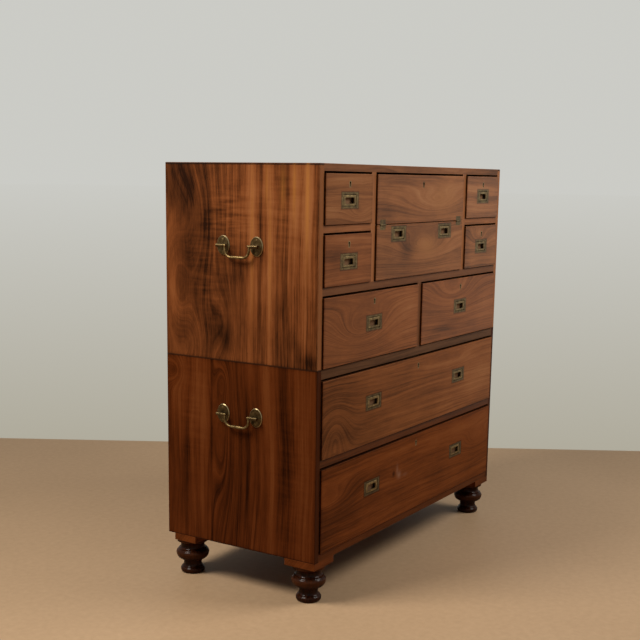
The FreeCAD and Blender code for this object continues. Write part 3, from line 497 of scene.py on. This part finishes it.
def sides():
    """Side boards: dark swirls at the back, streaks running up in front."""
    in_left = ("x", -INNER_X - 0.0004, -INNER_X - 0.0001)
    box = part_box("upper_left_side")
    paint("upper_left_side", wood(
        "upper_left_wood", "z", "y", box, 1.3, tinted(SIDE_UPPER, 0.78), raw=in_left,
        tints=side_tints(box, UPPER_EDGE_LIT), shine=0.06, bands=0.22, pitch=26.0, wave=0.010, fibres=0.85,
        clouds=0.62,
        calm=[(0.870, 0.180, 0.300, 0.085, 0.78), (0.680, 0.055, 0.110, 0.055, 0.55)],
        marks=[(0.985, -0.151, 0.060, 0.0045, 0.42, GOLD), (0.960, -0.187, 0.110, 0.0050, 0.50, GOLD),
               (0.985, -0.120, 0.050, 0.0070, 0.25, GOLD), (0.840, -0.085, 0.140, 0.0040, 0.25, GOLD),
               (0.860, -0.034, 0.160, 0.0040, 0.25, GOLD), (0.990, -0.075, 0.045, 0.0040, 0.30, GOLD)],
        knots=[(0.910, 0.150, 0.110, 0.060, 0.060), (0.660, 0.050, 0.085, 0.032, 0.045),
               (0.760, 0.190, 0.110, 0.035, -0.060), (0.600, 0.150, 0.070, 0.045, 0.045)],
        patches=[(0.990, 0.180, 0.090, 0.060, -0.28), (0.900, 0.110, 0.060, 0.028, -0.18),
                 (0.800, 0.150, 0.100, 0.070, -0.22), (0.940, 0.128, 0.100, 0.016, 0.16),
                 (0.730, 0.208, 0.100, 0.016, 0.18), (0.640, 0.170, 0.090, 0.080, -0.10),
                 (0.690, 0.050, 0.110, 0.050, -0.13), (0.625, 0.045, 0.040, 0.020, -0.14),
                 (0.980, 0.030, 0.110, 0.055, -0.02), (0.800, 0.030, 0.080, 0.060, -0.12),
                 (0.800, -0.032, 0.400, 0.013, 0.22),
                 (0.780, -0.058, 0.350, 0.007, -0.14), (0.760, -0.086, 0.400, 0.011, 0.22),
                 (0.780, -0.118, 0.280, 0.014, -0.08), (0.980, -0.152, 0.120, 0.012, 0.32),
                 (0.960, -0.188, 0.150, 0.014, 0.40), (0.760, -0.175, 0.110, 0.040, 0.07),
                 (0.640, -0.150, 0.060, 0.030, -0.08), (0.590, -0.195, 0.020, 0.026, -0.25)],
        ripples=[(0.920, 0.030, 0.065, 0.055, 0.70), (0.800, 0.090, 0.120, 0.060, 0.40),
                 (0.940, -0.120, 0.110, 0.090, 0.34)]))
    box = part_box("lower_left_side")
    paint("lower_left_side", wood(
        "lower_left_wood", "z", "y", box, 2.7, tinted(SIDE_LOWER_SHADED, 0.66), raw=in_left,
        tints=side_tints(box, LOWER_EDGE_SHADED), shine=0.03, bands=0.22, pitch=24.0, wave=0.010, fibres=0.80,
        clouds=0.36,
        knots=[(0.534, 0.205, 0.030, 0.030, 0.060), (0.380, 0.048, 0.170, 0.030, 0.050),
               (0.520, 0.050, 0.040, 0.020, 0.025), (0.300, -0.060, 0.200, 0.090, 0.022)],
        patches=[(0.534, 0.205, 0.014, 0.018, -0.20), (0.480, 0.185, 0.100, 0.040, 0.18),
                 (0.500, 0.120, 0.100, 0.025, 0.16), (0.300, 0.165, 0.180, 0.008, -0.24),
                 (0.250, 0.200, 0.150, 0.022, -0.06), (0.330, 0.120, 0.300, 0.020, 0.10),
                 (0.340, 0.087, 0.330, 0.004, -0.22), (0.330, 0.040, 0.280, 0.045, -0.13),
                 (0.300, -0.022, 0.170, 0.010, -0.22), (0.500, -0.078, 0.110, 0.012, 0.28),
                 (0.280, -0.095, 0.170, 0.012, 0.22), (0.300, -0.055, 0.220, 0.012, -0.06),
                 (0.400, -0.132, 0.260, 0.022, -0.14), (0.400, -0.188, 0.260, 0.022, 0.20)],
        ripples=[(0.430, 0.140, 0.160, 0.050, 0.30), (0.320, -0.150, 0.200, 0.060, 0.24)]))
    in_right = ("x", INNER_X + 0.0004, INNER_X + 0.0001)
    for node, seed, colour, edge, shine in (("upper_right_side", 5.1, SIDE_UPPER, UPPER_EDGE_LIT, 0.06),
                                            ("lower_right_side", 6.4, SIDE_LOWER_SHADED, LOWER_EDGE_SHADED, 0.03)):
        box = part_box(node)
        paint(node, wood(node + "_wood", "z", "y", box, seed, tinted(colour, 0.72), raw=in_right,
                         tints=side_tints(box, edge), shine=shine, bands=0.30, pitch=24.0,
                         fibres=0.80, clouds=0.44,
                         knots=[(box[0].z + 0.14, 0.04, 0.12, 0.04, 0.055)],
                         ripples=[(box[1].z - 0.12, -0.05, 0.10, 0.10, 0.40)]))


# Rails and partitions, each with its colour on the front edge; the short rails and partitions are lighter
# as painted light
RAILS = {"lower_drawer_rail": BLOCK, "upper_bottom_board": RAIL, "upper_mid_rail": RAIL,
         "small_drawer_rails": SHORT_RAIL_LIT, "column_partitions": PARTITION_LIT, "half_drawer_partition": RAIL}


def boards():
    """Top, bottom, blocks, rails and partitions, raw where they lie inside the carcase."""
    paint("upper_top_board", wood(
        "top_wood", "x", "y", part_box("upper_top_board"), 3.3, tinted(TOP, 0.55), pitch=16.0, wave=0.040,
        knots=[(0.10, 0.02, 0.38, 0.055, 0.060), (-0.36, -0.10, 0.20, 0.040, 0.045)],
        patches=[(0.47, -0.23, 0.09, 0.03, -0.24)]))
    low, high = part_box("lower_top_board")
    paint("lower_top_board", wood(
        "band_wood", "x", "y", (low, Vector((high.x, high.y, JOINT_Z))), 4.1, tinted(BAND, 0.50),
        raw=("y", FRONT_Y + 0.026, FRONT_Y + 0.030), edge=0.10, shine=0.05))
    paint("lower_bottom_board", wood(
        "bottom_board_wood", "x", "y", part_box("lower_bottom_board"), 4.9, tinted(BLOCK, 0.5),
        raw=("y", FRONT_Y + 0.050, FRONT_Y + 0.054), edge=0.15, shine=0.05))
    paint("corner_blocks", wood("block_wood", "x", "y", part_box("corner_blocks"), 7.7,
                                tinted(CORNER_BLOCK, 0.5), shine=0.05))
    for i, (node, colour) in enumerate(RAILS.items()):
        along = "z" if "partition" in node else "x"
        paint(node, wood(node + "_wood", along, "y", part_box(node), 8.0 + 0.37 * i, tinted(colour, 0.5),
                         raw=("y", FRONT_Y + 0.001, FRONT_Y + 0.012), edge=0.15))


def linings():
    """Insides of the drawers, pigeonholes and back boards, all of raw wood."""
    for i, node in enumerate(("bottom_drawer_box", "long_drawer_box", "secretaire_box")):
        g = surface(node + "_wood")
        paint(node, plain(g, *drawer_lining(g, 0.31 * i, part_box(node)[1].y - DRAWER_BACK)))
    g = surface("pigeonhole_wood")
    paint("pigeonholes", plain(g, *raw_wood(g, "z", "y", 1.1, LINING, gloss=0.45)))
    for i, node in enumerate(("upper_back_boards", "lower_back_boards")):
        low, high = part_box(node)
        planks = (low.z, (high.z - low.z) / BACK_PLANKS)
        g = surface(node + "_wood")
        paint(node, plain(g, *raw_wood(g, "x", "z", 1.7 + 0.4 * i, OLD_PINE, planks=planks)))


# Each front's colour and shine, and its grain as (x, z, half length, half width, bend, tone or share)
FRONT_LOOKS = {
    "bottom_drawer_front": (BOTTOM_FRONT_SHADED, 0.03, dict(
        seed=0.4, wave=0.016, bands=0.26,
        knots=[(-0.122, 0.250, 0.014, 0.009, 0.014), (-0.440, 0.248, 0.120, 0.036, 0.055),
               (0.400, 0.245, 0.120, 0.036, 0.055)],
        patches=[(-0.122, 0.250, 0.006, 0.006, -0.34), (0.350, 0.300, 0.180, 0.050, 0.10),
                 (-0.480, 0.200, 0.240, 0.140, -0.21), (-0.420, 0.240, 0.080, 0.030, 0.10)],
        marks=[(-0.092, 0.242, 0.009, 0.009, 0.42, SCUFF), (-0.103, 0.256, 0.005, 0.014, 0.28, SCUFF),
               (-0.060, 0.236, 0.014, 0.004, 0.16, SCUFF)])),
    "long_drawer_front": (LONG_FRONT, 0.06, dict(
        seed=0.9, wave=0.010, bands=0.24,
        knots=[(-0.418, 0.418, 0.062, 0.064, -0.078), (0.170, 0.505, 0.180, 0.020, 0.024)],
        patches=[(-0.440, 0.430, 0.080, 0.060, 0.08), (-0.330, 0.400, 0.160, 0.030, -0.16),
                 (-0.480, 0.450, 0.180, 0.150, -0.15), (0.170, 0.508, 0.150, 0.007, 0.18),
                 (0.380, 0.450, 0.180, 0.090, 0.13)])),
    "half_drawer_left": (HALF_FRONT, 0.10, dict(
        seed=1.9, wave=0.010, bands=0.18, rings=0.16, knots=[(-0.300, 0.652, 0.130, 0.050, 0.085)],
        patches=[(-0.060, 0.700, 0.100, 0.080, 0.09), (-0.400, 0.690, 0.070, 0.040, -0.07)])),
    "half_drawer_right": (HALF_FRONT, 0.14, dict(
        seed=2.5, wave=0.010, bands=0.20, rings=0.16, knots=[(0.200, 0.700, 0.150, 0.050, 0.060)],
        patches=[(0.120, 0.606, 0.080, 0.008, -0.20), (0.220, 0.622, 0.070, 0.007, -0.18),
                 (0.410, 0.650, 0.060, 0.050, 0.12), (0.060, 0.700, 0.070, 0.050, -0.08)])),
    "small_drawer_left_low": (HALF_FRONT, 0.10, dict(
        seed=3.1, wave=0.022, patches=[(-0.420, 0.830, 0.035, 0.020, -0.14)])),
    "small_drawer_left_top": (UPPER_FRONT, 0.10, dict(
        seed=3.6, wave=0.022, knots=[(-0.330, 0.925, 0.060, 0.020, 0.022)])),
    "small_drawer_right_low": (UPPER_FRONT, 0.16, dict(
        seed=4.4, wave=0.018, knots=[(0.355, 0.850, 0.060, 0.026, 0.040)],
        patches=[(0.275, 0.830, 0.020, 0.080, -0.12), (0.390, 0.800, 0.060, 0.030, -0.06)])),
    "small_drawer_right_top": (UPPER_FRONT, 0.20, dict(
        seed=4.8, wave=0.018, patches=[(0.300, 0.990, 0.070, 0.020, 0.06)])),
    "secretaire_front": (UPPER_FRONT, 0.14, dict(
        seed=5.5, wave=0.012, bands=0.30, rings=0.14, knots=[(0.010, 0.835, 0.150, 0.036, 0.062)],
        calm=[(0.030, 0.838, 0.075, 0.034, 0.75)],
        marks=[(0.030, 0.838, 0.062, 0.026, 0.34, FRONT_GOLD)],
        patches=[(-0.085, 0.832, 0.036, 0.028, -0.21), (0.020, 0.838, 0.060, 0.026, 0.13),
                 (-0.060, 0.772, 0.100, 0.012, -0.16), (-0.180, 0.860, 0.050, 0.030, -0.07)])),
    "secretaire_fall": (UPPER_FRONT, 0.14, dict(
        seed=6.1, wave=0.014, bands=0.24, knots=[(0.080, 0.950, 0.150, 0.036, 0.055)],
        marks=[(0.120, 0.962, 0.080, 0.034, 0.26, FRONT_GOLD)],
        patches=[(-0.200, 0.925, 0.060, 0.025, -0.10), (0.060, 0.975, 0.100, 0.030, 0.10),
                 (-0.120, 1.000, 0.080, 0.014, -0.07)])),
}


def fronts():
    """Drawer fronts, darkened in the sunk parts as painted shade and dirty round the handles,
    and the raw linings behind them in the nodes that hold a whole drawer."""
    back = FACE_Y + FRONT_THICKNESS
    raw = ("y", back - 0.0001, back + 0.0001)
    # Everything set back behind a front's face, in the gaps round it, is darkened as painted shade
    sunk_shade = [("y", FACE_Y + 0.0009, FACE_Y + 0.0028, 0.80, DIRT_AND_SHADE)]
    handles = [middle(node) for node in NODES if "_bail" in node and "carry" not in node]
    for node, (colour, shine, look) in FRONT_LOOKS.items():
        low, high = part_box(node)
        rise = WEAR_AND_HIGHLIGHT_RISE if node.startswith(("small", "half")) else 0.0
        box = (Vector((low.x, low.y, low.z + rise)), Vector((high.x, back, high.z)))
        holes = [(at.x, at.z, *PLATE_HALF) for at in handles
                 if low.x < at.x < high.x and low.z < at.z < high.z]
        look = {"pitch": 26.0, "edge": 0.24, "fibres": 0.72, "clouds": 0.38, **look}
        paint(node, wood(node + "_wood", "x", "z", box, ramp=tinted(colour, 0.55), shine=shine, raw=raw,
                         lining_back=high.y - DRAWER_BACK, tints=sunk_shade, holes=holes, **look))


# ---------------------------------------------------------------- feet, metal and leather
def foot_wood():
    """Near-black polished turning, worn brown on the collar, the ring and the foot's edge."""
    g = surface("foot_wood")
    x, y, z = g.xyz
    turned = g.noise(g.vector(g.times(x, 30.0), g.times(y, 30.0), g.times(z, 400.0)), 1.0)
    grain = g.noise(g.vector(g.times(x, 240.0), g.times(y, 240.0), g.times(z, 12.0)), 1.0, 3.0, 0.6)
    worn = g.plus(z, g.about(turned, 0.012))
    collar = g.step(worn, 0.078, 0.088)
    ring = g.band(worn, 0.040, 0.050, 0.053, 0.062)
    rim = g.fade(worn, 0.001, 0.006)
    colour = g.over(g.ramp(grain, FOOT_RAMP), FOOT_COLLAR, collar, 0.60)
    colour = g.over(colour, FOOT_RING, ring, 0.35)
    colour = g.over(colour, FOOT_RIM, rim, 0.5)
    return g.finish(colour, g.plus(0.30, g.times(grain, 0.14)), g.bump(turned, 0.00010, 0.2),
                    specular_ior_level=0.02, coat_weight=0.13, coat_roughness=0.05)


def brass(name, tone, metallic=0.8, rough=0.30, plate_face=None, liner_z=None, rim=None):
    """Old brass. Behind plate_face the gap round the bail and the cup's walls are darkened as painted
    shade, and the cup's floor is a lighter tan as painted light. Above liner_z is a bright keyhole liner.
    A rim, from one distance to another from the middle in x, is rubbed bright, partly as wear and partly
    as a painted highlight."""
    g = surface(name)
    cloud = g.cloud(110.0, 3.0, 0.65)
    fine = g.cloud(520.0, 2.0, 0.6)
    ramp = [(place, tuple(channel * tone for channel in colour)) for place, colour in BRASS_RAMP]
    colour = g.ramp(g.plus(g.times(cloud, 0.75), g.times(fine, 0.25)), ramp)
    dull = g.plus(rough, g.times(cloud, 0.20))
    if plate_face is not None:
        depth = g.minus(g.xyz[1], plate_face)
        # The gap round the bail and the cup's walls are darkened as painted shade, the cup's floor is a
        # lighter tan as painted light
        shaded_gap = g.step(depth, *BAIL_SHADE_DEPTH)
        colour = g.over(colour, CUP_WALL_SHADE, shaded_gap, 0.92)
        colour = g.over(colour, CUP_FLOOR_LIT, g.step(depth, *CUP_FLOOR), 0.85)
        dull = g.plus(dull, g.times(shaded_gap, 0.30))
    if liner_z is not None:
        colour = g.over(colour, BRIGHT_LINER, g.step(g.xyz[2], liner_z, liner_z + 0.0005), 0.40)
    if rim is not None:
        out = g.math("ABSOLUTE", g.xyz[0])
        # The rim is rubbed bright, partly as wear and partly as a painted highlight
        rubbed_and_highlight = g.band(out, rim[0], rim[0] + 0.0003, rim[1] - 0.0006, rim[1])
        colour = g.over(colour, BRIGHT_RIM_AND_HIGHLIGHT, rubbed_and_highlight, 0.55)
    return g.finish(colour, dull, g.bump(g.plus(cloud, fine), 0.00008, 0.5), metallic=metallic)


def leather(box):
    """Dark green writing leather with a gilt fillet inside its edge."""
    g = surface("leather")
    x, _, z = g.xyz
    pebble = g.add("ShaderNodeTexVoronoi", {"Vector": g.vector(*g.xyz), "Scale": 900.0},
                   feature="DISTANCE_TO_EDGE").outputs[0]
    cloud = g.cloud(24.0, 4.0, 0.6)
    colour = g.ramp(cloud, LEATHER_RAMP)
    low, high = box
    inset = g.least(g.least(g.minus(x, low.x), g.minus(high.x, x)),
                    g.least(g.minus(z, low.z), g.minus(high.z, z)))
    line = g.band(inset, 0.0068, 0.0072, 0.0082, 0.0086)
    rub = g.step(g.cloud(160.0, 3.0, 0.6), 0.36, 0.50)
    colour = g.over(colour, GILT, g.times(line, rub), 0.8)
    return g.finish(colour, g.plus(0.42, g.times(cloud, 0.15)), g.bump(pebble, 0.0001, 0.6),
                    specular_ior_level=0.4)


def liner_level(node):
    """Level above which a drawer's brass is its keyhole liner, where the handle lies below it."""
    bails = [other for other in NODES if other.startswith(node.replace("_brass", "") + "_bail")]
    return middle(bails[0]).z + LINER_RISE if bails else None


def metals():
    """Brass of all fittings, darker low down as painted shade of the light falling off downward, as the
    photo shows it.
    """
    bails = brass("bail_brass", BAIL_TONE)
    rim = (HALF_WIDTH + 0.0006, HALF_WIDTH + CARRY_PLATE_FACE - 0.0004)
    carry = {}
    for section, (bail_tone, plate_tone) in CARRY_TONES.items():
        carry[section] = (brass(section + "_carry_bail_brass", bail_tone, 0.85, 0.32),
                          brass(section + "_carry_plate_brass", plate_tone, 0.85, 0.26, rim=rim))
    for node in NODES:
        place = node.split("_")[0]
        if "carry_bail" in node:
            paint(node, carry[place][0])
        elif "carry_plates" in node:
            paint(node, carry[place][1])
        elif node.endswith("_brass"):
            paint(node, brass(node + "_metal", PLATE_TONES[place], 0.85, 0.34, FACE_Y,
                              liner_level(node)))
        elif "_bail" in node:
            paint(node, bails)


# ---------------------------------------------------------------- screws
def screw_mesh(bm, centre, normal, angle, radius, rise):
    """Countersunk head in two halves beside a sawn slot, standing by its rise out of a face."""
    side = normal.orthogonal().normalized()
    other = normal.cross(side)
    a = math.cos(angle) * side + math.sin(angle) * other
    b = normal.cross(a)
    half_slot = radius * SLOT_SHARE
    proud = normal * rise
    start = math.asin(half_slot / radius)
    turns = [start + (math.pi - 2 * start) * i / HEAD_STEPS for i in range(HEAD_STEPS + 1)]
    rim = [(radius * math.cos(t), radius * math.sin(t)) for t in turns]
    crown = [half_slot + (y - half_slot) * CROWN_SHARE for _, y in rim]
    for sign in (-1, 1):
        low = [bm.verts.new(centre + a * x + b * sign * y) for x, y in rim]
        high = [bm.verts.new(centre + a * x * CROWN_SHARE + b * sign * y + proud)
                for (x, _), y in zip(rim, crown)]
        for i in range(len(rim)):
            j = (i + 1) % len(rim)
            bm.faces.new((low[i], low[j], high[j], high[i]))
        bm.faces.new(high)


def screws(name, body, places, normal, radius, material, rise=SCREW_RISE):
    """One piece with a head at each place, each slot turned its own way."""
    bm = bmesh.new()
    for i, place in enumerate(places):
        screw_mesh(bm, Vector(place), Vector(normal), FIRST_TURN + NEXT_TURN * i, radius, rise)
    bmesh.ops.recalc_face_normals(bm, faces=bm.faces)
    mesh = bpy.data.meshes.new(name)
    bm.to_mesh(mesh)
    bm.free()
    mesh.materials.append(material)
    piece = bpy.data.objects.new(name, mesh)
    bpy.context.scene.collection.objects.link(piece)
    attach(piece, body)


def all_screws():
    """Screws of the flush plates, hinges, carrying plates and back boards."""
    worn = brass("screw_brass", SCREW_TONE)
    plates = {}
    for node in NODES:
        if "_bail" in node and "carry" not in node:
            drawer = node.split("_bail")[0].replace("secretaire_drawer", "secretaire")
            plates.setdefault(BODY_OF[drawer + "_brass"], []).append(middle(node))
    for unit, centres in plates.items():
        places = [(c.x + sx * PLATE_SCREW[0], FACE_Y, c.z + sz * PLATE_SCREW[1])
                  for c in centres for sx in (-1, 1) for sz in (-1, 1)]
        screws(unit + "_plate_screws", unit, places, (0, -1, 0), PLATE_SCREW_RADIUS, worn)
    low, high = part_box("secretaire_fall")
    hinge_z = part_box("secretaire_front")[1].z
    for body, rise in zip(("secretaire_unit", "fall_unit"), HINGE_SCREWS):
        places = [(x, FACE_Y, hinge_z + rise) for x in (low.x + HINGE_INSET, high.x - HINGE_INSET)]
        screws(body + "_hinge_screws", body, places, (0, -1, 0), HINGE_SCREW_RADIUS, worn)
    for section in ("upper", "lower"):
        for hand, side in (("left", -1), ("right", 1)):
            bail = section + "_carry_bail_" + hand
            pivot_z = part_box(bail)[1].z - CARRY_EYE
            places = [(side * (HALF_WIDTH + CARRY_PLATE_FACE), middle(bail).y + sy * CARRY_SPACING / 2,
                       pivot_z + sz * CARRY_SCREW_RISE) for sy in (-1, 1) for sz in (-1, 1)]
            screws(bail + "_plate_screws", section + "_carcase", places, (side, 0, 0),
                   CARRY_SCREW_RADIUS, worn)
        low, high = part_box(section + "_back_boards")
        rows = [low.z + (high.z - low.z) * (i + 0.5 + d) / BACK_PLANKS
                for i in range(BACK_PLANKS) for d in (-0.3, 0.3)]
        places = [(x, high.y, z) for x in (low.x + NAIL_INSET, high.x - NAIL_INSET) for z in rows]
        screws(section + "_back_nails", section + "_carcase", places, (0, 1, 0), NAIL_RADIUS, worn,
               rise=NAIL_RISE)


# ---------------------------------------------------------------- stage and light
def seen_directly(g):
    """1 for the rays that see the background itself, in the camera or in a reflection."""
    path = g.add("ShaderNodeLightPath")
    return g.most(path.outputs["Is Camera Ray"],
                  g.most(path.outputs["Is Glossy Ray"], path.outputs["Is Transmission Ray"]))


def make_floor():
    """Plain pale floor, evenly bright further out; beyond the wall's line it shows the wall's colour,
    darker near the floor as painted shade.
    """
    mesh = bpy.data.meshes.new("floor")
    corners = [(sx * FLOOR_HALF, sy * FLOOR_HALF, 0) for sx, sy in ((-1, -1), (1, -1), (1, 1), (-1, 1))]
    mesh.from_pydata(corners, [], [(0, 1, 2, 3)])
    floor = bpy.data.objects.new("floor", mesh)
    bpy.context.scene.collection.objects.link(floor)
    g = surface("floor_and_wall")
    seen = seen_directly(g)
    x, y, _ = g.xyz
    past = g.minus(g.plus(g.times(x, WALL_NORMAL.x), g.times(y, WALL_NORMAL.y)), WALL_AT)
    shade = g.plus(g.times(g.cloud(1.4, 3.0), 0.5), g.times(g.cloud(60.0, 2.0, 0.6), 0.5))
    lit = g.add("ShaderNodeBsdfPrincipled", {"Base Color": g.ramp(shade, FLOOR_RAMP), "Roughness": 0.6,
                                             "Specular IOR Level": 0.25})
    glow = g.add("ShaderNodeEmission", {"Color": FLOOR_FAR, "Strength": 1.0})
    out = g.math("SQRT", g.plus(g.times(x, x), g.times(y, y)))
    near = g.add("ShaderNodeMixShader", {0: g.times(g.step(out, *FLOOR_GLOW), seen),
                                         1: lit.outputs[0], 2: glow.outputs[0]})
    # Towards the wall's foot its colour darkens as painted shade
    away = g.math("DIVIDE", past, g.plus(g.most(past, 0.0), WALL_FADE), clamp=True)
    wall_glow = g.add("ShaderNodeEmission", {"Color": g.mix(away, WALL_NEAR_SHADED, WALL_FAR), "Strength": 1.0})
    wall_plain = g.add("ShaderNodeBsdfDiffuse", {"Color": WALL_FAR})
    wall = g.add("ShaderNodeMixShader", {0: seen, 1: wall_plain.outputs[0], 2: wall_glow.outputs[0]})
    both = g.add("ShaderNodeMixShader", {0: g.step(past, -WALL_BLUR, WALL_BLUR),
                                         1: near.outputs[0], 2: wall.outputs[0]})
    g.add("ShaderNodeOutputMaterial", {"Surface": both.outputs[0]})
    mesh.materials.append(g.owner)


def make_world():
    """The wall's colour to the eye, and a little soft light from all round."""
    world = bpy.data.worlds.new("studio")
    bpy.context.scene.world = world
    g = Graph(world)
    seen = g.add("ShaderNodeBackground", {"Color": WALL_FAR})
    light = g.add("ShaderNodeBackground", {"Color": AMBIENT_COLOUR, "Strength": AMBIENT})
    mixer = g.add("ShaderNodeMixShader", {0: seen_directly(g), 1: light.outputs[0], 2: seen.outputs[0]})
    g.add("ShaderNodeOutputWorld", {"Surface": mixer.outputs[0]})


def area_light(name, place, target, width, height, power, colour):
    """Rectangular lamp at a place, turned to its target, in metres and watts."""
    data = bpy.data.lights.new(name, "AREA")
    data.shape = "RECTANGLE"
    data.size = width
    data.size_y = height
    data.energy = power
    data.color = colour
    lamp = bpy.data.objects.new(name, data)
    lamp.location = place
    lamp.rotation_euler = (Vector(target) - Vector(place)).to_track_quat("-Z", "Y").to_euler()
    bpy.context.scene.collection.objects.link(lamp)


def make_lights():
    """Soft key from above and behind on the left, and a broad fill from the front right."""
    area_light("key", **KEY)
    area_light("fill", **FILL)


make_camera()
make_floor()
make_world()
make_lights()
bpy.context.scene.view_settings.view_transform = "Standard"
sides()
boards()
fronts()
linings()
metals()
paint("turned_feet", foot_wood())
paint("fall_leather", leather(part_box("fall_leather")))
all_screws()
